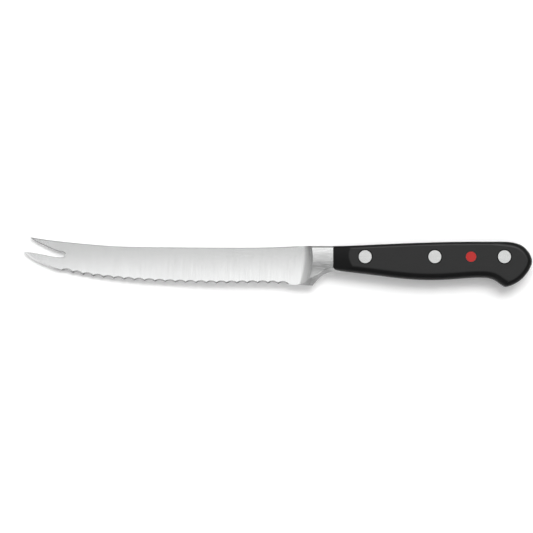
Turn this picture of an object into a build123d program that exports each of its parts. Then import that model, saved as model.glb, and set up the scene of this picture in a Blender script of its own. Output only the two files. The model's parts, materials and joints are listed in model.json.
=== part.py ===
from build123d import *
import os
from math import atan, cos, degrees, radians, sin

# A tomato knife with a forked tip: one forged steel piece (blade, bolster and
# full tang), two moulded scales, three two-part rivets and a colour dot.
# Millimetres. X = 0 is the front of the scales and +X runs to the butt, +Y runs
# to the spine, and Z is the thickness, with the middle of the steel at Z = 0.
# The finished knife is then set down on its right scale, over its own origin.

# Blade outline
blade_reach = 151.55         # front of the scales to the tip of the lower prong
blade_depth = 18.9           # height datum down to the heel's edge
tip_rise = 4.85              # height datum up to the tip of the upper prong
spine_shares = ((0.0, 0.09), (0.09, 0.10), (0.17, -0.01), (0.40, -0.07), (0.62, -0.01), (0.70, 0.06),
                (0.795, 0.28), (0.90, 0.62))
edge_shares = ((0.13, 0.976), (0.18, 0.953), (0.33, 0.945), (0.53, 0.911), (0.73, 0.804), (0.842, 0.675),
               (0.90, 0.56))
nose_shares = ((0.945, 0.42), (0.98, 0.27), (1.0, 0.117))

# Fork, measured from the centre of the slot's round root
root_setback = 18.95         # lower prong's tip back to the root's centre
root_drop = 3.75             # height datum down to the root's centre
root_radius = 1.4
slot_length = 16.1           # root's centre to the upper prong's tip
slot_top_shares = ((0.08, 0.18), (0.28, 0.30), (0.48, 0.47), (0.68, 0.626), (0.88, 0.84))
slot_floor_shares = ((0.67, 0.45), (0.34, -0.42))
lower_tip_direction = (1, -0.1)     # how the slot's floor leaves the lower prong's tip
upper_tip_direction = (-1, 0.7)     # how the slot's top comes to the upper prong's tip
slot_bevel_angle = 45.0      # degrees, around the slot
slot_land_half = 0.42        # half thickness that this bevel leaves
tip_round = 0.15

# Blade thickness and grinds
spine_half = 0.95            # half thickness at the spine, by the bolster
edge_half = 0.22             # half thickness at the heel's edge
distal_thinning = 0.15       # what the half thickness loses from bolster to tip
plunge_start = 14.6          # front of the scales to the end of the ground flat
plunge_radius = 40.0         # the flat's round end, seen from the side
plunge_line = 5.5            # height datum down to the middle of that round end
plunge_fillet = 5.2
spine_bevel_angle = 35.0     # degrees, along the spine
spine_land_half = 0.70       # half thickness that this bevel leaves
spine_bevel_end = 16.5       # front of the scales to this bevel's end, short of the plunge
edge_bevel_angle = 32.0      # degrees, on the plain edge of the lower prong
edge_land_half = 0.12        # half thickness that this bevel leaves

# Serrations, ground from the left side
scallop_pitch = 5.035
first_scallop = 24.4         # front of the scales to the scallop nearest the heel
plain_tip = 18.0             # least length without scallops behind the lower prong's tip
scallop_depth = 0.80         # on the blade's right side
scallop_grind_angle = 38.0   # degrees between the grinding wheel's path and the blade
wheel_width = 15.0           # well past the blade on either side
plain_edge_share = 0.3       # of a pitch, from the last scallop's middle to the plain edge's start
curve_halvings = 40          # steps taken to find a place on the edge or the spine

# Bolster; its side and the scale's front are one crowned surface that rises to the flat side
bolster_half = 5.3
bolster_taper = 0.15         # rise of the side along X
crown_radius = 50.0          # side's roundness from spine to belly
crown_line = 4.2             # height datum down to the top of the crown
crown_reach = 18.0           # how far the crown runs under the scales and the plunge
crown_floor = 0.4            # least half thickness that the crown leaves
top_chamfer = 0.5
top_chamfer_angle = 35.0     # degrees
choil_run = 10.0             # front of the scales to the heel's corner
choil_top = 12.2             # height datum down to the steel's underside at the scales
choil_break_shares = (0.74, 0.455)
heel_bevel_depth = 7.0       # how far the heel's bevel is cut on below its crest
heel_wall_angle = 80.0       # degrees, of the wall that grows between the crest and the bevel
heel_bevel_shares = ((2.2, 0.889, 0.230), (1.8, 0.857, 0.277), (1.42, 0.825, 0.319), (1.03, 0.786, 0.494),
                     (0.68, 0.672, 0.672), (0.34, 0.558, 0.828), (-0.05, 0.511, 0.957), (-0.62, 0.50, 1.0))
heel_wall_shares = (0.02, 0.02, 0.02, 0.03, 0.22, 0.44, 0.60, 0.62)    # of the bolster's half thickness
heel_bevel_angles = (23, 24, 25, 29, 31, 29, 25, 24)    # degrees, at each place along its crest

# Handle outline
handle_length = 97.3
handle_rise = 2.6            # height datum up to the handle's highest line
handle_depth = 19.6          # height datum down to the hook of the butt
back_shares = ((0.0, 0.16), (0.10, 0.27), (0.21, 0.455), (0.45, 0.82), (0.69, 1.0), (0.82, 1.0),
               (0.904, 0.83))
butt_shares = ((0.953, -0.022), (0.988, 0.166), (1.0, 0.342), (0.985, 0.575), (0.935, 0.855))
hook_share = 0.866
belly_shares = ((0.843, 0.938), (0.813, 0.833), (0.742, 0.768), (0.631, 0.798), (0.510, 0.829),
                (0.330, 0.782), (0.146, 0.668), (0.060, 0.618))
chin_shares = (0.025, 0.592)
hook_round = 0.7
scale_foot = 10.0            # height datum down to the scales' front corner

# Paths of the roundings beyond the outline
butt_lead_shares = ((0.78, 1.0), (0.87, 0.33))      # of the length, and of the growth in radius
chin_lead_shares = (-0.031, 0.539)

# Handle section
handle_half = 6.5            # half thickness over the scales' flat sides
tang_half = 1.6
back_round = 1.7
butt_round = 2.8
belly_round = 3.8
rounding_run_out = 4.0       # degrees by which a rounding meets the flat sides short of tangent

# Rivets, each a sleeve from the left with a pin pressed in from the right
rivet_names = ("front", "middle", "rear")
first_rivet = 15.65
last_rivet = 13.6            # from the butt
rivet_drop = 4.75            # height datum down to the rivets' line
rivet_head_diameter = 6.65
rivet_head_height = 1.8
rivet_head_chamfer = 0.2
sleeve_diameter = 4.6
pin_diameter = 3.0
pin_point_chamfer = 0.4
blind_end = 1.2              # solid steel between the sleeve's bore and its head
rivet_end_gap = 0.3          # left at the sleeve's end and at the pin's point
rivet_clearance = 0.10       # between a rivet's diameter and its hole's
press_clearance = 0.02       # between the pin's diameter and the sleeve's bore

# Colour dot, set flush into the left scale
dot_share = 0.52             # of the rivets' pitch, behind the middle rivet
dot_diameter = 5.0
dot_depth = 1.2
dot_clearance = 0.10

overrun = 3.0                # how far a cutting shape passes what it cuts


def along(shares, reach, depth):
    """Points at shares of a reach and of a depth or rise."""
    return [(reach * x_share, depth * y_share) for x_share, y_share in shares]


# Shared places
root_x = root_setback - blade_reach
root_y = -root_drop
upper_tip = (root_x - slot_length, tip_rise)
lower_tip = (-blade_reach, -blade_depth * nose_shares[-1][1])
heel_corner = (-choil_run, -blade_depth)
bolster_top = tip_rise * spine_shares[0][1]
handle_top = handle_rise * back_shares[0][1]
scallop_count = int((blade_reach - first_scallop - plain_tip) / scallop_pitch) + 1
rivet_pitch = (handle_length - first_rivet - last_rivet) / (len(rivet_names) - 1)
dot_place = (first_rivet + (1 + dot_share) * rivet_pitch, -rivet_drop)
hook_tip = (handle_length * hook_share, -handle_depth)
chin = (handle_length * chin_shares[0], -handle_depth * chin_shares[1])


def spine_curve():
    """The spine, from the scales' front to the upper prong's tip."""
    return Spline(*along(spine_shares, -blade_reach, tip_rise), upper_tip)


def edge_curve():
    """The cutting edge, from the heel to the lower prong's tip."""
    points = along(edge_shares + nose_shares, -blade_reach, -blade_depth)
    return Spline(heel_corner, *points)


def slot_curves():
    """The fork's slot, from the lower prong's tip round the root to the upper prong's tip."""
    mouth = tip_rise + root_drop
    top_points = [(root_x - slot_length * x, root_y + mouth * y) for x, y in slot_top_shares]
    floor_points = [(root_x - root_setback * x, root_y + root_radius * y) for x, y in slot_floor_shares]
    root_top = (root_x, root_y + root_radius)
    root_floor = (root_x, root_y - root_radius)
    floor = Spline(lower_tip, *floor_points, root_floor, tangents=(lower_tip_direction, (1, 0)))
    root = ThreePointArc(root_floor, (root_x + root_radius, root_y), root_top)
    top = Spline(root_top, *top_points, upper_tip, tangents=((-1, 0), upper_tip_direction))
    return floor, root, top


def blade_face():
    """Side view of the blade and bolster."""
    slot_floor, slot_root, slot_top = slot_curves()
    choil_height = blade_depth - choil_top
    choil_break = (-choil_run * choil_break_shares[0], -blade_depth + choil_height * choil_break_shares[1])
    heel_line = Line(choil_break, heel_corner)
    choil = TangentArc(choil_break, (0, -choil_top), tangent=(heel_line @ 0 - heel_line @ 1))
    front = Line((0, -choil_top), (0, bolster_top))
    edges = spine_curve() + slot_top + slot_root + slot_floor + edge_curve() + heel_line + choil + front
    face = make_face(edges)
    tips = [v for v in face.vertices() if v.X < upper_tip[0] + tip_round]
    return fillet(tips, tip_round)


def back_curve():
    """The handle's back and butt, from the bolster over the top and down to the hook."""
    back_points = along(back_shares, handle_length, handle_rise)
    butt_points = along(butt_shares, handle_length, -handle_depth)
    return Spline(*back_points, *butt_points, hook_tip)


def butt_rounding_path():
    """The butt's line, led in from above the back so that its larger rounding grows in."""
    growth = butt_round - back_round
    lead_in = [(handle_length * x, handle_rise + growth * share) for x, share in butt_lead_shares]
    return Spline(*lead_in, *along(butt_shares, handle_length, -handle_depth), hook_tip)


def belly_curve():
    """The handle's underside, from the hook to the chin behind the bolster."""
    return Spline(hook_tip, *along(belly_shares, handle_length, -handle_depth), chin)


def belly_rounding_path():
    """The underside's line, led on past the chin and under the bolster."""
    shares = belly_shares + (chin_shares, chin_lead_shares)
    return Spline(hook_tip, *along(shares, handle_length, -handle_depth))


def handle_face():
    """Side view of the tang and of each scale."""
    belly = belly_curve()
    front_foot = (0, -scale_foot)
    chin_curve = TangentArc(chin, front_foot, tangent=belly % 1)
    front = Line(front_foot, (0, handle_top))
    face = make_face(back_curve() + belly + chin_curve + front)
    hook = [v for v in face.vertices() if abs(v.Y + handle_depth) < hook_round / 2]
    return fillet(hook, hook_round)


def chin_face():
    """Side view of the steel that shows below the scales' front corner."""
    belly_point = along(belly_shares, handle_length, -handle_depth)[-1]
    corners = ((0, 0), (0, -choil_top), belly_point, (belly_point[0], 0))
    return make_face(Polyline(*corners, close=True)) - handle_face()


def both_sides(cutter):
    """A cutter for the left side and its mirror image for the right."""
    return [cutter, mirror(cutter, about=Plane.XY)]


def swept_cutter(path, section):
    """Sweep a section along a flat path; section X is up, Y is right of the travel."""
    start = Plane(origin=path @ 0, x_dir=(0, 0, 1), z_dir=path % 0)
    return sweep(start * section, path=path)


def bevel_section(land_half, angle, outside):
    """What lies outside a bevel that leaves a land at the path, and reaches past it."""
    rise = overrun * sin(radians(angle))
    run = overrun * cos(radians(angle))
    low = land_half - outside * sin(radians(angle))
    corners = ((low, -outside * cos(radians(angle))), (land_half + rise, run),
               (land_half + rise, -outside * cos(radians(angle))))
    return make_face(Polyline(*corners, close=True))


def rounding_section(radius):
    """What lies outside a rounded upper corner of the scale's section."""
    run_out = radians(rounding_run_out)
    inset = radius * cos(run_out)
    near = inset - radius * sin(run_out)
    high = handle_half + overrun
    foot = (handle_half - near, 0)
    below = (foot[0] - overrun * cos(run_out), -overrun * sin(run_out))
    arc = CenterArc((handle_half - inset, inset), radius, rounding_run_out - 90, 90 - 2 * rounding_run_out)
    rest = Polyline((handle_half, near), (high, near), (high, -overrun), (below[0], -overrun), below, foot)
    return make_face(arc + rest)


def face_half(x, y):
    """Half thickness of the ground blade at a place in the side view."""
    across_slope = (spine_half - edge_half) / (bolster_top + blade_depth)
    along_slope = distal_thinning / blade_reach
    return spine_half + across_slope * (y - bolster_top) + along_slope * (x + plunge_start)


def ground_flat():
    """The left side's grind: a flat down to the blade's side, ending in a round fillet."""
    centre = (-plunge_start - plunge_radius, -plunge_line)
    height = face_half(*centre)
    ahead = face_half(centre[0] + plunge_radius, centre[1]) - height
    above = face_half(centre[0], centre[1] + plunge_radius) - height
    normal = (-ahead, -above, plunge_radius)
    side = Plane(origin=(*centre, height), x_dir=(plunge_radius, 0, ahead), z_dir=normal)
    rim = plunge_radius + plunge_fillet
    tall = plunge_fillet + handle_half
    profile = make_face(
        Line((0, 0), (plunge_radius, 0))
        + CenterArc((plunge_radius, plunge_fillet), plunge_fillet, 270, 90)
        + Line((rim, plunge_fillet), (rim, tall))
        + Line((rim, tall), (0, tall))
        + Line((0, tall), (0, 0))
    )
    round_end = revolve(Plane.XZ * profile, axis=Axis.Z)
    flat = Pos(-blade_reach / 2, 0, tall / 2) * Box(blade_reach, 2 * plunge_radius, tall)
    return side * (round_end + flat)


def crown():
    """What stands over the crowned side of the bolster and of the scale's front."""
    tilt = atan(bolster_taper)
    top = Plane(origin=(0, -crown_line, bolster_half), x_dir=(0, 1, 0), z_dir=(cos(tilt), 0, sin(tilt)))
    tall = handle_half + overrun
    round_bar = top * Pos(0, -crown_radius, 0) * Cylinder(crown_radius, 2 * (crown_reach + overrun))
    upper = Pos(0, -blade_depth / 2, (crown_floor + tall) / 2)
    block = upper * Box(2 * crown_reach, 2 * blade_depth, tall - crown_floor)
    return block - round_bar


def top_edge_chamfer():
    """A small chamfer on the upper edge of the bolster's side and of the scale's front."""
    tilt = degrees(atan(bolster_taper))
    lift = (bolster_top + crown_line) ** 2 / (2 * crown_radius)
    side = 2 * crown_radius
    bar = Box(2 * crown_reach, side, side)
    lean = Pos(0, bolster_top, bolster_half - lift) * Rot(0, -tilt, 0) * Rot(-top_chamfer_angle, 0, 0)
    return lean * Pos(0, 0, side / 2 - top_chamfer * cos(radians(top_chamfer_angle))) * bar


def heel_bevel():
    """The bevel under the bolster, which runs out into the blade's side and, below a wall, at the scales."""
    sections = []
    for crest_shares, wall_share, angle in zip(heel_bevel_shares, heel_wall_shares, heel_bevel_angles):
        x_share, y_share, z_share = crest_shares
        crest = Vector(0, -blade_depth * y_share, bolster_half * z_share)
        up_wall = Vector(0, cos(radians(heel_wall_angle)), sin(radians(heel_wall_angle)))
        up_bevel = Vector(0, cos(radians(angle)), sin(radians(angle)))
        top = crest + up_wall * overrun
        knee = crest - up_wall * bolster_half * wall_share
        foot = knee - up_bevel * heel_bevel_depth
        corners = ((top.Y, top.Z), (knee.Y, knee.Z), (foot.Y, foot.Z), (foot.Y - overrun, foot.Z),
                   (foot.Y - overrun, top.Z))
        place = Plane(origin=(-choil_run * x_share, 0, 0), x_dir=(0, 1, 0), z_dir=(1, 0, 0))
        sections.append(place * make_face(Polyline(*corners, close=True)))
    return loft(sections)


def place_on_curve(curve, x):
    """Where a curve from the heel or the bolster to a tip passes a given X, as a share of its length."""
    near_heel, near_tip = 0.0, 1.0
    for _ in range(curve_halvings):
        middle = (near_heel + near_tip) / 2
        if (curve @ middle).X > x:
            near_heel = middle
        else:
            near_tip = middle
    return middle


def scallop_cutter(edge, index):
    """One serration: a round wheel's path from the blade's left side out through its edge."""
    share = place_on_curve(edge, -first_scallop - index * scallop_pitch)
    middle = edge @ share
    travel = edge % share
    inward = Vector(-travel.Y, travel.X, 0) * -1
    grind = radians(scallop_grind_angle)
    sag = scallop_depth * sin(grind)
    wheel_radius = ((scallop_pitch / 2) ** 2 + sag**2) / (2 * sag)
    crest = middle + inward * scallop_depth - Vector(0, 0, face_half(middle.X, middle.Y))
    path = inward * cos(grind) + Vector(0, 0, sin(grind))
    to_axis = Vector(0, 0, cos(grind)) - inward * sin(grind)
    wheel = Plane(origin=crest + to_axis * wheel_radius, x_dir=travel, z_dir=path)
    return wheel * Cylinder(wheel_radius, wheel_width)


def forged_blade():
    """Blade, bolster and full tang in one piece."""
    forging = extrude(blade_face() + chin_face(), amount=bolster_half, both=True)
    for cutter in (ground_flat(), crown(), heel_bevel(), top_edge_chamfer()):
        forging -= both_sides(cutter)
    edge = edge_curve()
    for index in range(scallop_count):
        forging -= scallop_cutter(edge, index)
    last_scallop = first_scallop + (scallop_count - 1) * scallop_pitch
    plain_edge = edge.trim(place_on_curve(edge, -last_scallop - plain_edge_share * scallop_pitch), 1)
    edge_bevel = bevel_section(edge_land_half, edge_bevel_angle, overrun)
    forging -= both_sides(swept_cutter(plain_edge, edge_bevel))
    spine = spine_curve()
    bevelled_spine = spine.trim(place_on_curve(spine, -spine_bevel_end), 1)
    spine_bevel = mirror(bevel_section(spine_land_half, spine_bevel_angle, overrun), about=Plane.XZ)
    forging -= both_sides(swept_cutter(bevelled_spine, spine_bevel))
    slot_rim = Wire([curve.edge() for curve in slot_curves()])
    slot_bevel = bevel_section(slot_land_half, slot_bevel_angle, root_radius / 2)
    forging -= both_sides(swept_cutter(slot_rim, slot_bevel))
    tang = extrude(handle_face(), amount=tang_half, both=True)
    return forging + tang


def rivet_places():
    """Each rivet's name and place in the side view."""
    places = [(first_rivet + index * rivet_pitch, -rivet_drop) for index in range(len(rivet_names))]
    return list(zip(rivet_names, places))


def standing(diameter, low, high, place):
    """A round bar or hole square to the blade's plane, from one Z to another."""
    middle = Pos(place[0], place[1], (low + high) / 2)
    return middle * Cylinder(diameter / 2, high - low)


head_seat = handle_half - rivet_head_height


def left_scale_blank():
    """A scale's moulded shape, before its holes."""
    scale = extrude(Pos(0, 0, tang_half) * handle_face(), amount=handle_half - tang_half)
    scale -= crown()
    scale -= top_edge_chamfer()
    scale -= swept_cutter(belly_rounding_path(), rounding_section(belly_round))
    scale -= swept_cutter(back_curve(), rounding_section(back_round))
    scale -= swept_cutter(butt_rounding_path(), rounding_section(butt_round))
    return scale


def scale_holes():
    """Each rivet's shank hole and head seat, as cut in the left scale."""
    holes = []
    for _, place in rivet_places():
        holes.append(standing(sleeve_diameter + rivet_clearance, 0, handle_half, place))
        seat_diameter = rivet_head_diameter + rivet_clearance
        holes.append(standing(seat_diameter, head_seat, handle_half + overrun, place))
    return holes


def scales():
    """The two scales; the left one has the colour dot's pocket."""
    blank = left_scale_blank() - scale_holes()
    pocket_floor = handle_half - dot_depth
    pocket = standing(dot_diameter + dot_clearance, pocket_floor, handle_half + overrun, dot_place)
    return blank - pocket, mirror(blank, about=Plane.XY)


def colour_dot():
    """The plain round dot that marks the knife's set."""
    return standing(dot_diameter, handle_half - dot_depth, handle_half, dot_place)


def rivet_head(high, place):
    """A flush head with a small chamfer on its outer rim."""
    head = standing(rivet_head_diameter, head_seat, high, place)
    return chamfer(head.edges().group_by(Axis.Z)[-1], rivet_head_chamfer)


def rivet_sleeve(place):
    """The hollow half of a rivet, with its head on the left."""
    end = -head_seat + rivet_end_gap
    sleeve = rivet_head(handle_half, place) + standing(sleeve_diameter, end, head_seat, place)
    return sleeve - standing(pin_diameter + press_clearance, end, head_seat - blind_end, place)


def rivet_pin(place):
    """The solid half of a rivet, with its head on the right."""
    head = mirror(rivet_head(handle_half, place), about=Plane.XY)
    shank = standing(pin_diameter, -head_seat, head_seat - blind_end - rivet_end_gap, place)
    return head + chamfer(shank.edges().group_by(Axis.Z)[-1], pin_point_chamfer)


def knife():
    """Every piece of the knife by name, in its working frame."""
    blade = forged_blade()
    for _, place in rivet_places():
        blade -= standing(sleeve_diameter + rivet_clearance, -tang_half, tang_half, place)
    left, right = scales()
    pieces = {"blade": blade, "scale_left": left, "scale_right": right, "colour_dot": colour_dot()}
    for name, place in rivet_places():
        pieces[name + "_rivet_sleeve"] = rivet_sleeve(place)
        pieces[name + "_rivet_pin"] = rivet_pin(place)
    return pieces


def main():
    pieces = knife()
    whole = Compound(children=[Compound(piece.solids()) for piece in pieces.values()]).bounding_box()
    middle = whole.center()
    set_down = Pos(-middle.X, -middle.Y, -whole.min.Z)
    os.makedirs("parts", exist_ok=True)
    for name, piece in pieces.items():
        export_step(set_down * piece, os.path.join("parts", name + ".step"))
    print("datum at", (-middle.X, -middle.Y, -whole.min.Z), "size", whole.size)


main()
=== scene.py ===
"""Finishes and stage for a tomato knife with a forked tip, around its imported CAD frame."""

import json
import math

import bmesh
import bpy
from bpy.props import FloatProperty, FloatVectorProperty, IntProperty, PointerProperty
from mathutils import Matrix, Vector

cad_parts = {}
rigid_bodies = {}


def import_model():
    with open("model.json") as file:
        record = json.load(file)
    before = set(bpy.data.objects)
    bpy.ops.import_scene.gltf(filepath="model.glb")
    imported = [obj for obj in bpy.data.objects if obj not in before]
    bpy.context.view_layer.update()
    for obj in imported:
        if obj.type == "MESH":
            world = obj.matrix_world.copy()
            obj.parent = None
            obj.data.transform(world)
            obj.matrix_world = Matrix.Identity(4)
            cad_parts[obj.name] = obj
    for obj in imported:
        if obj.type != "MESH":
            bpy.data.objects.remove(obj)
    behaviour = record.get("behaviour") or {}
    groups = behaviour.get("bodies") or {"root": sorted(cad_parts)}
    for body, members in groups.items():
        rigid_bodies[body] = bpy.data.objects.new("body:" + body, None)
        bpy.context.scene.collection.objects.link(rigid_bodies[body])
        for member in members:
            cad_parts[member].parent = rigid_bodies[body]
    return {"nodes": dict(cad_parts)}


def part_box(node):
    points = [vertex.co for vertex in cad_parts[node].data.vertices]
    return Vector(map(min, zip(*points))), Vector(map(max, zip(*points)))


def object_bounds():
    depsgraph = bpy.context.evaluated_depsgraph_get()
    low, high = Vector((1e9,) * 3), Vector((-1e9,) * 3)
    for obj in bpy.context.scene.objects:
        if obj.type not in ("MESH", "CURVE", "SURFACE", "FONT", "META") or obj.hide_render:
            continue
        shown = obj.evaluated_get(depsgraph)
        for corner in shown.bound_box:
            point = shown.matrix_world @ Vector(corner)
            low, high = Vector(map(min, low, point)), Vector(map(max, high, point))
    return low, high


bl_info = {
    "name": "Tomato knife",
    "version": (1, 0, 0),
    "blender": (4, 5, 0),
    "location": "3D View > Sidebar > Tomato knife",
    "description": "Gives a packed tomato knife its steel and plastic finishes, and sets its stage",
    "category": "Object",
}

# The start-up scene is emptied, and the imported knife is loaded
for leftover in list(bpy.data.objects):
    bpy.data.objects.remove(leftover)
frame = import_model()
cad_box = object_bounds()

# Places read from the frame, in metres
RIVET_NAMES = ("front", "middle", "rear")
RIVET_BOXES = [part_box(name + "_rivet_sleeve") for name in RIVET_NAMES]
RIVET_CENTRES = [(low + high) / 2 for low, high in RIVET_BOXES]
RIVET_RADIUS = (RIVET_BOXES[0][1].x - RIVET_BOXES[0][0].x) / 2
RIVET_LINE = RIVET_CENTRES[0].y
SCALE_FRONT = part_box("scale_left")[0].x
MID_PLANE = (cad_box[0].z + cad_box[1].z) / 2
FLAT_HALF = (cad_box[1].z - cad_box[0].z) / 2
BLADE_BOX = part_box("blade")
BLADE_MIDDLE = (BLADE_BOX[0].y + RIVET_LINE) / 2     # half-way from the edge to the rivets' line

# The crest between the blade's ground side and the bolster is a circle in the side view
CREST_BEHIND = 0.0546        # its centre, ahead of the scales' front
CREST_BELOW = 0.00075        # and below the rivets' line
CREST_RADIUS = 0.0452
CREST_CENTRE = (SCALE_FRONT - CREST_BEHIND, RIVET_LINE - CREST_BELOW, 0)

# The flat sides of the scales are rubbed down, which fades out where they start to round off
RUB_END = 0.00012            # no longer rubbed this far below the flat side
RUB_START = 0.00002          # still fully rubbed this far below it

# What the shared shader groups get on each surface, with sizes in metres
BLADE_GRAIN = {"Tone Change": 0.12, "Roughness Change": 0.02}
# On the bolster, the streaks' stronger tone change is partly polishing grain and partly painted bands of
# light and shade along the bolster.
BOLSTER_GRAIN_AND_SHADE_BANDS = {"Tone Change": 0.28, "Roughness Change": 0.14}
STEEL_MARKS = {"Patch Size": 0.018, "Amount": 0.05}
MOULD_TEXTURE = {"Tone Change": 0.25}
RUBBED_GRAIN = {"Line Width": 0.00018, "Line Length": 0.006, "Tone Change": 0.5, "Roughness Change": 0.12}
SCALE_MARKS = {"Patch Size": 0.02, "Amount": 0.06}
RIVET_GRAIN = {"Line Width": 0.00016, "Line Length": 0.005, "Tone Change": 0.08, "Roughness Change": 0.1}
RIVET_MARKS = {"Patch Size": 0.004, "Amount": 0.05}
DOT_TEXTURE = {"Grain Size": 0.0003, "Tone Change": 0.3}
DOT_MARKS = {"Patch Size": 0.003, "Amount": 0.06}
PAPER_TEXTURE = {"Grain Size": 0.001, "Tone Change": 0.01}

# Where the level of the surroundings changes from one value to another, by direction: along the knife
# to the butt, across it to the spine's side, and up
EDGE_SIDE = (-0.98, -0.70)   # across, from dark to bright
HORIZON = (0.1, 0.6)         # up, from dim to bright
BEYOND_TIP = (-1.0, -0.1)    # along, from dim to bright
SPINE_SIDE = (-0.08, 0.04)   # across, from bright to dim

# Soft cards of light in the surroundings: the middle, half width and fade of each in its directions. A
# card that reaches past -1 is open on that side.
CARDS = {
    "strip": {"along": (-0.03, 0.13, 0.16), "across": (-0.135, 0.03, 0.11)},
    "bright_card": {"along": (-0.32, 0.08, 0.10), "across": (0.19, 0.10, 0.10)},
    "key_box": {"along": (0.15, 0.35, 0.15), "across": (0.47, 0.12, 0.08)},
    "tip_card": {"along": (-0.88, 0.50, 0.10), "across": (-1.00, 0.50, 0.12), "up": (0.44, 0.07, 0.08)},
    "low_card": {"along": (-0.20, 0.40, 0.15), "across": (-1.30, 0.50, 0.10), "up": (0.24, 0.07, 0.05)},
    "side_card": {"along": (-0.75, 0.25, 0.12), "across": (0.20, 0.12, 0.12)},
}
DARK_CARD = {"along": (-0.75, 0.50, 0.09), "across": (-0.195, 0.02, 0.12)}

NOISE_MEAN = 0.5
NODE_STEP = 200              # between nodes in the shader editor


# Node helpers

def place(tree, kind, inputs=None, **settings):
    """Add a node, set its options, and give its inputs a value or a link."""
    new = tree.nodes.new(kind)
    new.location.x = NODE_STEP * len(tree.nodes)
    for option, value in settings.items():
        setattr(new, option, value)
    for socket, value in (inputs or {}).items():
        if isinstance(value, bpy.types.NodeSocket):
            tree.links.new(value, new.inputs[socket])
        else:
            new.inputs[socket].default_value = value
    return new


def calculate(tree, operation, first, second=0.0):
    """A Math node's result."""
    return place(tree, "ShaderNodeMath", {0: first, 1: second}, operation=operation).outputs[0]


def product(tree, *factors):
    """All the factors multiplied together."""
    result = factors[0]
    for factor in factors[1:]:
        result = calculate(tree, "MULTIPLY", result, factor)
    return result


def total(tree, *terms):
    """All the terms added together."""
    result = terms[0]
    for term in terms[1:]:
        result = calculate(tree, "ADD", result, term)
    return result


def axes(tree, where):
    """The X, Y and Z of a place or a direction."""
    return place(tree, "ShaderNodeSeparateXYZ", {0: where}).outputs


def blend(tree, mask, first, second):
    """The first value where the mask is 0 and the second where it is 1."""
    return place(tree, "ShaderNodeMix", {0: mask, 2: first, 3: second}).outputs[0]


def blend_normals(tree, mask, first, second):
    """The first normal where the mask is 0 and the second where it is 1."""
    inputs = {0: mask, 4: first, 5: second}
    return place(tree, "ShaderNodeMix", inputs, data_type="VECTOR").outputs[1]


def ramp(tree, value, start, end, low=0.0, high=1.0):
    """A value brought from one range to another, held at both ends."""
    inputs = {"Value": value, "From Min": start, "From Max": end, "To Min": low, "To Max": high}
    return place(tree, "ShaderNodeMapRange", inputs).outputs[0]


def soft_band(tree, value, middle, half, fade):
    """1 within half of the middle, falling to 0 over the fade outside it."""
    away = calculate(tree, "ABSOLUTE", calculate(tree, "SUBTRACT", value, middle))
    return ramp(tree, away, half, half + fade, 1.0, 0.0)


def card(tree, directions, bands):
    """1 in the middle of a card in the surroundings, falling softly to 0 around it."""
    return product(tree, *[soft_band(tree, directions[name], *band) for name, band in bands.items()])


def noise(tree, where, scale, detail, **inputs):
    """Procedural noise between 0 and 1."""
    inputs.update({"Vector": where, "Scale": scale, "Detail": detail})
    return place(tree, "ShaderNodeTexNoise", inputs).outputs[0]


def swing(tree, value, amount, mean=NOISE_MEAN):
    """How far a value is from its mean, times an amount."""
    return calculate(tree, "MULTIPLY", calculate(tree, "SUBTRACT", value, mean), amount)


def tint(tree, colour, tone):
    """A colour made lighter or darker by a tone around 1."""
    scaled = place(tree, "ShaderNodeVectorMath", {0: colour, "Scale": tone}, operation="SCALE")
    return scaled.outputs[0]


def bumped(tree, height, depth=1.0):
    """A normal from a height in metres, or from one of 0 to 1 and the depth that it stands for."""
    return place(tree, "ShaderNodeBump", {"Height": height, "Distance": depth}).outputs[0]


# Shader groups that the materials share

def new_group(name, inputs, outputs):
    """An empty shader group with named sockets: its tree, its input node and its output node."""
    tree = bpy.data.node_groups.new(name, "ShaderNodeTree")
    for socket, (kind, default) in inputs.items():
        made = tree.interface.new_socket(socket, in_out="INPUT", socket_type=kind)
        if default is not None:
            made.default_value = default
    for socket in outputs:
        tree.interface.new_socket(socket, in_out="OUTPUT", socket_type="NodeSocketFloat")
    start = tree.nodes.new("NodeGroupInput")
    end = tree.nodes.new("NodeGroupOutput")
    return tree, start, end


def use_group(tree, group, inputs):
    """A shader group's outputs for these inputs."""
    return place(tree, "ShaderNodeGroup", inputs, node_tree=group).outputs


def brushed_grain():
    """Fine lines along X: a height for the bump, and a tone and a roughness that vary with it."""
    name = "Brushed grain"
    if name in bpy.data.node_groups:
        return bpy.data.node_groups[name]
    inputs = {
        "Vector": ("NodeSocketVector", None),
        "Line Width": ("NodeSocketFloat", 0.0002),
        "Line Length": ("NodeSocketFloat", 0.01),
        "Tone Change": ("NodeSocketFloat", 0.02),
        "Roughness Change": ("NodeSocketFloat", 0.04),
    }
    tree, start, end = new_group(name, inputs, ("Height", "Tone", "Roughness"))
    width = start.outputs["Line Width"]
    along, across, up = axes(tree, start.outputs["Vector"])
    stretched = place(tree, "ShaderNodeCombineXYZ", {
        0: calculate(tree, "DIVIDE", along, start.outputs["Line Length"]),
        1: calculate(tree, "DIVIDE", across, width),
        2: calculate(tree, "DIVIDE", up, width),
    }).outputs[0]
    lines = noise(tree, stretched, scale=1.0, detail=3.0)
    streaks = noise(tree, stretched, scale=0.3, detail=4.0)
    both = calculate(tree, "ADD", lines, streaks)
    tone = swing(tree, both, start.outputs["Tone Change"], 2 * NOISE_MEAN)
    rough = swing(tree, streaks, start.outputs["Roughness Change"])
    tree.links.new(lines, end.inputs["Height"])
    tree.links.new(calculate(tree, "ADD", tone, 1.0), end.inputs["Tone"])
    tree.links.new(rough, end.inputs["Roughness"])
    return tree


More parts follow.
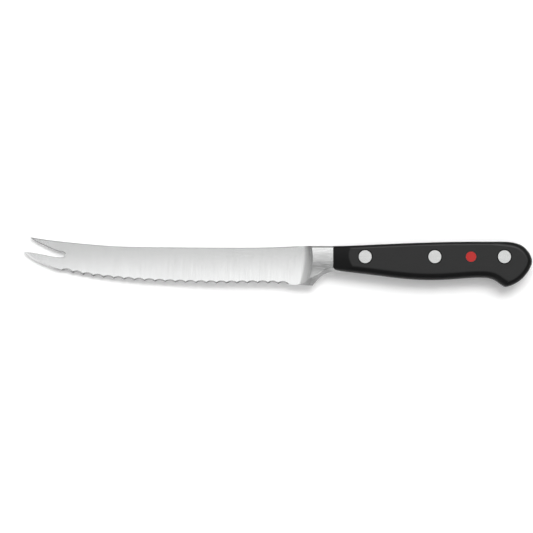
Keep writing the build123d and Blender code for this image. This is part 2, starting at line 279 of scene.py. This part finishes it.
def handling_marks():
    """Soft patches left by wiping and handling: a change of roughness and a tone."""
    name = "Handling marks"
    if name in bpy.data.node_groups:
        return bpy.data.node_groups[name]
    inputs = {
        "Vector": ("NodeSocketVector", None),
        "Patch Size": ("NodeSocketFloat", 0.012),
        "Amount": ("NodeSocketFloat", 0.04),
    }
    tree, start, end = new_group(name, inputs, ("Roughness", "Tone"))
    per_metre = calculate(tree, "DIVIDE", 1.0, start.outputs["Patch Size"])
    patches = noise(tree, start.outputs["Vector"], per_metre, detail=2.0, Distortion=0.6)
    change = swing(tree, patches, start.outputs["Amount"])
    tree.links.new(change, end.inputs["Roughness"])
    tree.links.new(calculate(tree, "SUBTRACT", 1.0, change), end.inputs["Tone"])
    return tree


def moulded_texture():
    """The fine eroded texture of moulded plastic: a height and a tone."""
    name = "Moulded texture"
    if name in bpy.data.node_groups:
        return bpy.data.node_groups[name]
    inputs = {
        "Vector": ("NodeSocketVector", None),
        "Grain Size": ("NodeSocketFloat", 0.0003),
        "Tone Change": ("NodeSocketFloat", 0.1),
    }
    tree, start, end = new_group(name, inputs, ("Height", "Tone"))
    per_metre = calculate(tree, "DIVIDE", 1.0, start.outputs["Grain Size"])
    grains = noise(tree, start.outputs["Vector"], per_metre, detail=4.0, Roughness=0.6)
    tone = swing(tree, grains, start.outputs["Tone Change"])
    tree.links.new(grains, end.inputs["Height"])
    tree.links.new(calculate(tree, "ADD", tone, 1.0), end.inputs["Tone"])
    return tree


# Parts of the materials

def new_material(name):
    """An empty material, its tree and the object's own coordinates."""
    material = bpy.data.materials.new(name)
    material.use_nodes = True
    tree = material.node_tree
    tree.nodes.clear()
    where = place(tree, "ShaderNodeTexCoord").outputs["Object"]
    return material, tree, where


def finish_surface(tree, inputs):
    """End a material in a Principled shader."""
    shader = place(tree, "ShaderNodeBsdfPrincipled", inputs)
    place(tree, "ShaderNodeOutputMaterial", {"Surface": shader.outputs[0]})


def give(node, material):
    """Put a material on every slot of a CAD node."""
    for slot in frame["nodes"][node].material_slots:
        slot.material = material


def turned(tree, where):
    """The same place with X and Y changed over, so that lines along X run along Y."""
    along, across, up = axes(tree, where)
    return place(tree, "ShaderNodeCombineXYZ", {0: across, 1: along, 2: up}).outputs[0]


def distance_across(tree, where, centre):
    """How far a place is from a centre in the side view."""
    flat = place(tree, "ShaderNodeVectorMath", {0: where, 1: (1, 1, 0)}, operation="MULTIPLY")
    ends = {0: flat.outputs[0], 1: (centre[0], centre[1], 0)}
    return place(tree, "ShaderNodeVectorMath", ends, operation="DISTANCE").outputs["Value"]


def height_from_middle(tree, where):
    """How far a place is from the knife's mid-plane."""
    up = axes(tree, where)[2]
    return calculate(tree, "ABSOLUTE", calculate(tree, "SUBTRACT", up, MID_PLANE))


def behind_crest(tree, where, blur):
    """0 on the blade's ground side and 1 on the bolster and the tang."""
    along = axes(tree, where)[0]
    behind = ramp(tree, along, CREST_CENTRE[0], CREST_CENTRE[0] + blur)
    away = distance_across(tree, where, CREST_CENTRE)
    past = ramp(tree, away, CREST_RADIUS - blur, CREST_RADIUS + blur)
    return calculate(tree, "MULTIPLY", behind, past)


def round_grind(tree, where, radius):
    """The height in metres of the blade's side, which is ground slightly round from spine to edge."""
    across = axes(tree, where)[1]
    off = calculate(tree, "SUBTRACT", across, BLADE_MIDDLE)
    return calculate(tree, "DIVIDE", calculate(tree, "MULTIPLY", off, off), -2 * radius)


def outside_seams(tree, where, width):
    """0 in the narrow seam round each rivet and 1 outside it."""
    return product(tree, *[
        ramp(tree, distance_across(tree, where, centre), RIVET_RADIUS + width, RIVET_RADIUS + 2 * width)
        for centre in RIVET_CENTRES
    ])


# Settings

class SteelSettings(bpy.types.PropertyGroup):
    """The blade's ground side, and the bolster and tang."""

    colour: FloatVectorProperty(
        name="Steel colour", description="Colour of the bare steel", size=3, subtype="COLOR",
        min=0, max=1, default=(0.755, 0.76, 0.758))
    blade_roughness: FloatProperty(
        name="Blade roughness", description="Roughness of the blade's ground sides", subtype="FACTOR",
        min=0, max=1, default=0.2)
    bolster_roughness: FloatProperty(
        name="Bolster roughness", description="Roughness of the bolster and the tang", subtype="FACTOR",
        min=0, max=1, default=0.18)
    bolster_tone: FloatProperty(
        name="Bolster tone", description="How much brighter the polished bolster is than the blade",
        default=1.09)
    line_width: FloatProperty(
        name="Line width", description="Width of one grinding line", unit="LENGTH", default=0.00022)
    blade_line_length: FloatProperty(
        name="Blade line length", description="Length of the lines across the blade", unit="LENGTH",
        default=0.012)
    bolster_line_length: FloatProperty(
        name="Bolster line length", description="Length of the lines along the bolster", unit="LENGTH",
        default=0.02)
    line_depth: FloatProperty(
        name="Line depth", description="Depth of the grinding lines", unit="LENGTH", default=0.0000025)
    grind_radius: FloatProperty(
        name="Grind radius", description="Radius of the blade's slightly round sides", unit="LENGTH",
        default=0.25)


class ScaleSettings(bpy.types.PropertyGroup):
    """The two moulded scales."""

    colour: FloatVectorProperty(
        name="Scale colour", description="Colour of the moulded scales", size=3, subtype="COLOR",
        min=0, max=1, default=(0.0065, 0.0066, 0.0068))
    roughness: FloatProperty(
        name="Moulded roughness", description="Roughness of the rounded moulded parts", subtype="FACTOR",
        min=0, max=1, default=0.36)
    flat_roughness: FloatProperty(
        name="Flat roughness", description="Roughness of the flat sides, rubbed down with the rivets",
        subtype="FACTOR", min=0, max=1, default=0.46)
    gloss: FloatProperty(
        name="Gloss", description="How much the rounded moulded parts reflect", subtype="FACTOR",
        min=0, max=1, default=0.16)
    flat_gloss: FloatProperty(
        name="Flat gloss", description="How much the flat sides reflect", subtype="FACTOR",
        min=0, max=1, default=0.3)
    # Painted shade: the rounded moulded parts of the scales are made darker than the rubbed flats.
    rounding_painted_shade: FloatProperty(
        name="Moulded tone", description="How dark the moulded parts are beside the rubbed flats",
        subtype="FACTOR", min=0, max=1, default=0.5)
    grain_size: FloatProperty(
        name="Grain size", description="Size of the mould's texture", unit="LENGTH", default=0.0004)
    grain_depth: FloatProperty(
        name="Grain depth", description="Depth of the mould's texture", unit="LENGTH", default=0.000012)
    seam_width: FloatProperty(
        name="Seam width", description="Width of the dark seam round each rivet", unit="LENGTH",
        default=0.00022)
    seam_tone: FloatProperty(
        name="Seam tone", description="How dark the seam is beside the plastic around it",
        subtype="FACTOR", min=0, max=1, default=0.15)
    seam_roughness: FloatProperty(
        name="Seam roughness", description="Roughness inside the seam", subtype="FACTOR",
        min=0, max=1, default=0.9)


class RivetSettings(bpy.types.PropertyGroup):
    """The flush rivet heads."""

    colour: FloatVectorProperty(
        name="Rivet colour", description="Colour of the rivets", size=3, subtype="COLOR",
        min=0, max=1, default=(0.785, 0.795, 0.79))
    roughness: FloatProperty(
        name="Rivet roughness", description="Roughness of the rubbed heads", subtype="FACTOR",
        min=0, max=1, default=0.2)
    line_depth: FloatProperty(
        name="Line depth", description="Depth of the lines that rubbing leaves", unit="LENGTH",
        default=0.000003)


class DotSettings(bpy.types.PropertyGroup):
    """The plain dot in the left scale."""

    colour: FloatVectorProperty(
        name="Dot colour", description="Colour of the dot", size=3, subtype="COLOR",
        min=0, max=1, default=(0.42, 0.012, 0.010))
    roughness: FloatProperty(
        name="Dot roughness", description="Roughness of the dot", subtype="FACTOR",
        min=0, max=1, default=0.42)
    gloss: FloatProperty(
        name="Gloss", description="How much the dot reflects", subtype="FACTOR",
        min=0, max=1, default=0.3)
    grain_depth: FloatProperty(
        name="Grain depth", description="Depth of the dot's texture", unit="LENGTH", default=0.000006)


class StageSettings(bpy.types.PropertyGroup):
    """The floor, the surroundings, the key lamp and the camera."""

    floor_colour: FloatVectorProperty(
        name="Floor colour", description="Colour of the floor", size=3, subtype="COLOR",
        min=0, max=1, default=(0.97, 0.97, 0.97))
    floor_radius: FloatProperty(
        name="Floor radius", description="Radius of the floor", unit="LENGTH", default=20.0)
    floor_sides: IntProperty(name="Floor sides", description="Sides of the round floor", default=96)
    floor_drop: FloatProperty(
        name="Floor drop", description="How far the floor lies under the handle", unit="LENGTH",
        default=0.00002)
    floor_rise: FloatProperty(
        name="Floor rise", description="How much higher the floor is under the tip than under the handle",
        unit="LENGTH", default=0.0046)
    rise_start: FloatProperty(
        name="Rise start", description="How far ahead of the scales' front the floor starts to rise",
        unit="LENGTH", default=0.05)
    rise_end: FloatProperty(
        name="Rise end", description="How far ahead of the scales' front the floor is level again",
        unit="LENGTH", default=0.152)
    floor_glow: FloatProperty(
        name="Floor glow", description="White added to the floor where it is seen", default=0.07)
    world_bright: FloatProperty(
        name="Bright surroundings", description="Grey level of the studio overhead", default=0.68)
    world_horizon: FloatProperty(
        name="Horizon", description="Share of the overhead level that is left at the horizon",
        subtype="FACTOR", min=0, max=1, default=0.6)
    world_ahead: FloatProperty(
        name="Ahead", description="Share of the overhead level that is left beyond the tip",
        subtype="FACTOR", min=0, max=1, default=0.66)
    world_dark: FloatProperty(
        name="Dark surroundings", description="Grey level low down on the edge's side", default=0.01)
    world_behind: FloatProperty(
        name="Behind", description="Share of the overhead level that is left on the spine's side",
        subtype="FACTOR", min=0, max=1, default=0.75)
    strip_level: FloatProperty(
        name="Strip", description="Level added where the blade's lower side mirrors", default=0.74)
    bright_card_level: FloatProperty(
        name="Bright card", description="Level added where the bolster's upper side mirrors", default=0.59)
    key_box_level: FloatProperty(
        name="Key box", description="Level added by the wide soft box on the spine's side", default=3.6)
    tip_card_level: FloatProperty(
        name="Tip card", description="Level added where the lower prong's bevel mirrors", default=0.70)
    low_card_level: FloatProperty(
        name="Low card", description="Level added where the serrations mirror", default=0.54)
    side_card_level: FloatProperty(
        name="Side card", description="Level added where the foot of the bolster mirrors", default=0.25)
    dark_card_depth: FloatProperty(
        name="Dark card", description="Share of the light that is kept from the bolster's lower side",
        subtype="FACTOR", min=0, max=1, default=0.85)
    key_level: FloatProperty(
        name="Key level", description="Strength of the soft key lamp", default=0.95)
    key_elevation: FloatProperty(
        name="Key elevation", description="Height of the key lamp over the floor", subtype="ANGLE",
        default=math.radians(62))
    key_turn: FloatProperty(
        name="Key turn", description="Turn of the key lamp from the spine's side towards the butt",
        subtype="ANGLE", default=math.radians(15))
    key_spread: FloatProperty(
        name="Key spread", description="How wide the key lamp looks", subtype="ANGLE",
        default=math.radians(30))
    view_width: FloatProperty(
        name="View width", description="What the camera takes in, at the knife", unit="LENGTH",
        default=0.26117)
    view_ahead: FloatProperty(
        name="View ahead", description="How far ahead of the scales' front the view is centred",
        unit="LENGTH", default=0.03258)
    view_below: FloatProperty(
        name="View below", description="How far below the rivets' line the view is centred",
        unit="LENGTH", default=0.0048)
    lens: FloatProperty(
        name="Lens", description="Focal length in millimetres", unit="CAMERA", default=300.0)


class KnifeSettings(bpy.types.PropertyGroup):
    """Every setting of the knife's looks and its stage."""

    steel: PointerProperty(type=SteelSettings, name="Steel", description="Blade and bolster")
    scales: PointerProperty(type=ScaleSettings, name="Scales", description="Moulded scales")
    rivets: PointerProperty(type=RivetSettings, name="Rivets", description="Rivet heads")
    dot: PointerProperty(type=DotSettings, name="Dot", description="Plain dot")
    stage: PointerProperty(type=StageSettings, name="Stage", description="Floor, light and camera")


# Pieces

class KNIFE_OT_finish_blade(bpy.types.Operator):
    """Give the forged piece its ground blade and its brushed bolster and tang"""

    bl_idname = "knife.finish_blade"
    bl_label = "Finish the blade"

    def execute(self, context):
        steel = context.scene.knife.steel
        material, tree, where = new_material("Ground steel")
        bolster = behind_crest(tree, where, steel.line_width)
        blade_lines = use_group(tree, brushed_grain(), {
            "Vector": turned(tree, where), "Line Width": steel.line_width,
            "Line Length": steel.blade_line_length, **BLADE_GRAIN,
        })
        # The bolster's streaks are partly polishing grain and partly painted bands of light and shade
        # along it.
        bolster_lines_and_shade_bands = use_group(tree, brushed_grain(), {
            "Vector": where, "Line Width": steel.line_width,
            "Line Length": steel.bolster_line_length, **BOLSTER_GRAIN_AND_SHADE_BANDS,
        })
        marks = use_group(tree, handling_marks(), {"Vector": where, **STEEL_MARKS})
        tone = product(
            tree, blend(tree, bolster, blade_lines["Tone"], bolster_lines_and_shade_bands["Tone"]), marks["Tone"],
            blend(tree, bolster, 1.0, steel.bolster_tone))
        rough = total(
            tree, blend(tree, bolster, steel.blade_roughness, steel.bolster_roughness),
            blend(tree, bolster, blade_lines["Roughness"], bolster_lines_and_shade_bands["Roughness"]),
            marks["Roughness"])
        ground = calculate(tree, "MULTIPLY", blade_lines["Height"], steel.line_depth)
        ground = calculate(tree, "ADD", ground, round_grind(tree, where, steel.grind_radius))
        brushed = bumped(tree, bolster_lines_and_shade_bands["Height"], steel.line_depth)
        finish_surface(tree, {
            "Base Color": tint(tree, steel.colour, tone), "Metallic": 1.0, "Roughness": rough,
            "Normal": blend_normals(tree, bolster, bumped(tree, ground), brushed),
        })
        give("blade", material)
        return {"FINISHED"}


class KNIFE_OT_finish_scales(bpy.types.Operator):
    """Give both scales their moulded plastic, rubbed flat on the sides"""

    bl_idname = "knife.finish_scales"
    bl_label = "Finish the scales"

    def execute(self, context):
        scales = context.scene.knife.scales
        material, tree, where = new_material("Moulded black plastic")
        flat = ramp(tree, height_from_middle(tree, where), FLAT_HALF - RUB_END, FLAT_HALF - RUB_START)
        texture = use_group(tree, moulded_texture(), {
            "Vector": where, "Grain Size": scales.grain_size, **MOULD_TEXTURE,
        })
        rubbed = use_group(tree, brushed_grain(), {"Vector": where, **RUBBED_GRAIN})
        marks = use_group(tree, handling_marks(), {"Vector": where, **SCALE_MARKS})
        outside = outside_seams(tree, where, scales.seam_width)
        # The darker tone of the moulded parts is painted shade on the scales' rounded sides.
        tone = product(
            tree, blend(tree, flat, texture["Tone"], rubbed["Tone"]),
            blend(tree, flat, scales.rounding_painted_shade, 1.0), blend(tree, outside, scales.seam_tone, 1.0))
        height = blend(tree, flat, texture["Height"], rubbed["Height"])
        base = blend(tree, flat, scales.roughness, scales.flat_roughness)
        rough = total(tree, base, marks["Roughness"], rubbed["Roughness"])
        finish_surface(tree, {
            "Base Color": tint(tree, scales.colour, tone),
            "Roughness": blend(tree, outside, scales.seam_roughness, rough),
            "Specular IOR Level": blend(tree, flat, scales.gloss, scales.flat_gloss),
            "Normal": bumped(tree, height, scales.grain_depth),
        })
        give("scale_left", material)
        give("scale_right", material)
        return {"FINISHED"}


class KNIFE_OT_finish_rivets(bpy.types.Operator):
    """Give the rivets their rubbed heads"""

    bl_idname = "knife.finish_rivets"
    bl_label = "Finish the rivets"

    def execute(self, context):
        rivets = context.scene.knife.rivets
        material, tree, where = new_material("Rubbed rivet steel")
        lines = use_group(tree, brushed_grain(), {"Vector": where, **RIVET_GRAIN})
        marks = use_group(tree, handling_marks(), {"Vector": where, **RIVET_MARKS})
        tone = calculate(tree, "MULTIPLY", lines["Tone"], marks["Tone"])
        finish_surface(tree, {
            "Base Color": tint(tree, rivets.colour, tone), "Metallic": 1.0,
            "Roughness": calculate(tree, "ADD", lines["Roughness"], rivets.roughness),
            "Normal": bumped(tree, lines["Height"], rivets.line_depth),
        })
        for name in RIVET_NAMES:
            give(name + "_rivet_sleeve", material)
            give(name + "_rivet_pin", material)
        return {"FINISHED"}


class KNIFE_OT_finish_dot(bpy.types.Operator):
    """Give the dot its plain red plastic"""

    bl_idname = "knife.finish_dot"
    bl_label = "Finish the dot"

    def execute(self, context):
        dot = context.scene.knife.dot
        material, tree, where = new_material("Red plastic")
        texture = use_group(tree, moulded_texture(), {"Vector": where, **DOT_TEXTURE})
        marks = use_group(tree, handling_marks(), {"Vector": where, **DOT_MARKS})
        finish_surface(tree, {
            "Base Color": tint(tree, dot.colour, texture["Tone"]),
            "Roughness": calculate(tree, "ADD", marks["Roughness"], dot.roughness),
            "Specular IOR Level": dot.gloss,
            "Normal": bumped(tree, texture["Height"], dot.grain_depth),
        })
        give("colour_dot", material)
        return {"FINISHED"}


# Stage

def add_object(name, data):
    """A new object in the scene."""
    made = bpy.data.objects.new(name, data)
    bpy.context.scene.collection.objects.link(made)
    return made


def floor_mesh(stage):
    """A round floor just under the handle, which rises under the blade and is level again at the tip."""
    shape = bmesh.new()
    bmesh.ops.create_circle(shape, cap_ends=True, segments=stage.floor_sides, radius=stage.floor_radius)
    bmesh.ops.translate(shape, verts=shape.verts, vec=(0, 0, cad_box[0].z - stage.floor_drop))
    foot = SCALE_FRONT - stage.rise_start
    top = SCALE_FRONT - stage.rise_end
    for bend in (foot, top):
        everything = shape.verts[:] + shape.edges[:] + shape.faces[:]
        bmesh.ops.bisect_plane(shape, geom=everything, plane_co=(bend, 0, 0), plane_no=(1, 0, 0))
    raised = [corner for corner in shape.verts if corner.co.x < (foot + top) / 2]
    bmesh.ops.translate(shape, verts=raised, vec=(0, 0, stage.floor_rise))
    mesh = bpy.data.meshes.new("floor")
    shape.to_mesh(mesh)
    shape.free()
    return mesh


def white_paper(stage):
    """The floor's paper, with a little glow where the camera sees it, also in a mirror."""
    material, tree, where = new_material("White paper")
    fibres = use_group(tree, moulded_texture(), {"Vector": where, **PAPER_TEXTURE})
    path = place(tree, "ShaderNodeLightPath").outputs
    seen = calculate(tree, "MAXIMUM", path["Is Camera Ray"], path["Is Glossy Ray"])
    seen = calculate(tree, "MAXIMUM", seen, path["Is Transmission Ray"])
    finish_surface(tree, {
        "Base Color": tint(tree, stage.floor_colour, fibres["Tone"]), "Roughness": 1.0,
        "Emission Color": (1, 1, 1, 1),
        "Emission Strength": calculate(tree, "MULTIPLY", seen, stage.floor_glow),
    })
    return material


class KNIFE_OT_set_stage(bpy.types.Operator):
    """Lay the floor and set the surroundings, the key lamp and the camera"""

    bl_idname = "knife.set_stage"
    bl_label = "Set the stage"

    def execute(self, context):
        stage = context.scene.knife.stage
        self.lay_floor(stage)
        self.set_surroundings(context, stage)
        self.set_key(stage)
        self.set_camera(context, stage)
        context.scene.view_settings.view_transform = "Standard"
        return {"FINISHED"}

    def lay_floor(self, stage):
        """The white floor under the knife."""
        mesh = floor_mesh(stage)
        mesh.materials.append(white_paper(stage))
        floor = add_object("floor", mesh)

    def set_surroundings(self, context, stage):
        """The studio that the steel mirrors, as a level of grey in each direction.

        It is bright overhead, dimmer at the horizon, beyond the tip and on the spine's side, and dark low
        down on the edge's side. Soft cards add light for one part of the steel each, and a dark card
        keeps light from the bolster's lower side.
        """
        world = bpy.data.worlds.new("Studio")
        world.use_nodes = True
        tree = world.node_tree
        tree.nodes.clear()
        towards = place(tree, "ShaderNodeTexCoord").outputs["Generated"]
        along, across, up = axes(tree, towards)
        level = product(
            tree, ramp(tree, across, *EDGE_SIDE, stage.world_dark, stage.world_bright),
            ramp(tree, up, *HORIZON, stage.world_horizon, 1.0),
            ramp(tree, along, *BEYOND_TIP, stage.world_ahead, 1.0),
            ramp(tree, across, *SPINE_SIDE, 1.0, stage.world_behind))
        directions = {"along": along, "across": across, "up": up}
        for name, bands in CARDS.items():
            strength = getattr(stage, name + "_level")
            added = calculate(tree, "MULTIPLY", card(tree, directions, bands), strength)
            level = calculate(tree, "ADD", level, added)
        lost = calculate(tree, "MULTIPLY", card(tree, directions, DARK_CARD), stage.dark_card_depth)
        level = calculate(tree, "MULTIPLY", level, calculate(tree, "SUBTRACT", 1.0, lost))
        background = place(tree, "ShaderNodeBackground", {"Color": level})
        place(tree, "ShaderNodeOutputWorld", {"Surface": background.outputs[0]})
        context.scene.world = world

    def set_key(self, stage):
        """A soft key lamp from the spine's side."""
        key = bpy.data.lights.new("key", "SUN")
        key.energy = stage.key_level
        key.angle = stage.key_spread
        out = math.cos(stage.key_elevation)
        towards_lamp = Vector((
            out * math.sin(stage.key_turn),
            out * math.cos(stage.key_turn),
            math.sin(stage.key_elevation),
        ))
        lamp = add_object("key", key)
        lamp.rotation_mode = "QUATERNION"
        lamp.rotation_quaternion = towards_lamp.to_track_quat("Z", "Y")

    def set_camera(self, context, stage):
        """A long lens straight above the knife."""
        lens = bpy.data.cameras.new("camera")
        lens.lens = stage.lens
        camera = add_object("camera", lens)
        camera.location = (
            SCALE_FRONT - stage.view_ahead,
            RIVET_LINE - stage.view_below,
            MID_PLANE + stage.view_width * stage.lens / lens.sensor_width,
        )
        context.scene.camera = camera


# Sidebar and registration

STEPS = {
    "steel": KNIFE_OT_finish_blade,
    "scales": KNIFE_OT_finish_scales,
    "rivets": KNIFE_OT_finish_rivets,
    "dot": KNIFE_OT_finish_dot,
    "stage": KNIFE_OT_set_stage,
}


class KNIFE_PT_panel(bpy.types.Panel):
    """The knife's pieces and stage in the sidebar"""

    bl_idname = "KNIFE_PT_panel"
    bl_label = "Tomato knife"
    bl_space_type = "VIEW_3D"
    bl_region_type = "UI"
    bl_category = "Tomato knife"

    def draw(self, context):
        for group, step in STEPS.items():
            settings = getattr(context.scene.knife, group)
            box = self.layout.box()
            for name in settings.__annotations__:
                box.prop(settings, name)
            box.operator(step.bl_idname)


CLASSES = (
    SteelSettings, ScaleSettings, RivetSettings, DotSettings, StageSettings, KnifeSettings,
    *STEPS.values(), KNIFE_PT_panel,
)


def register():
    """Make the settings, the operators and the panel known to Blender."""
    for item in CLASSES:
        bpy.utils.register_class(item)
    bpy.types.Scene.knife = PointerProperty(type=KnifeSettings)


def unregister():
    """Take back what register made known."""
    del bpy.types.Scene.knife
    for item in reversed(CLASSES):
        bpy.utils.unregister_class(item)


def main():
    """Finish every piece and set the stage."""
    register()
    bpy.ops.knife.finish_blade()
    bpy.ops.knife.finish_scales()
    bpy.ops.knife.finish_rivets()
    bpy.ops.knife.finish_dot()
    bpy.ops.knife.set_stage()


if __name__ == "__main__":
    main()
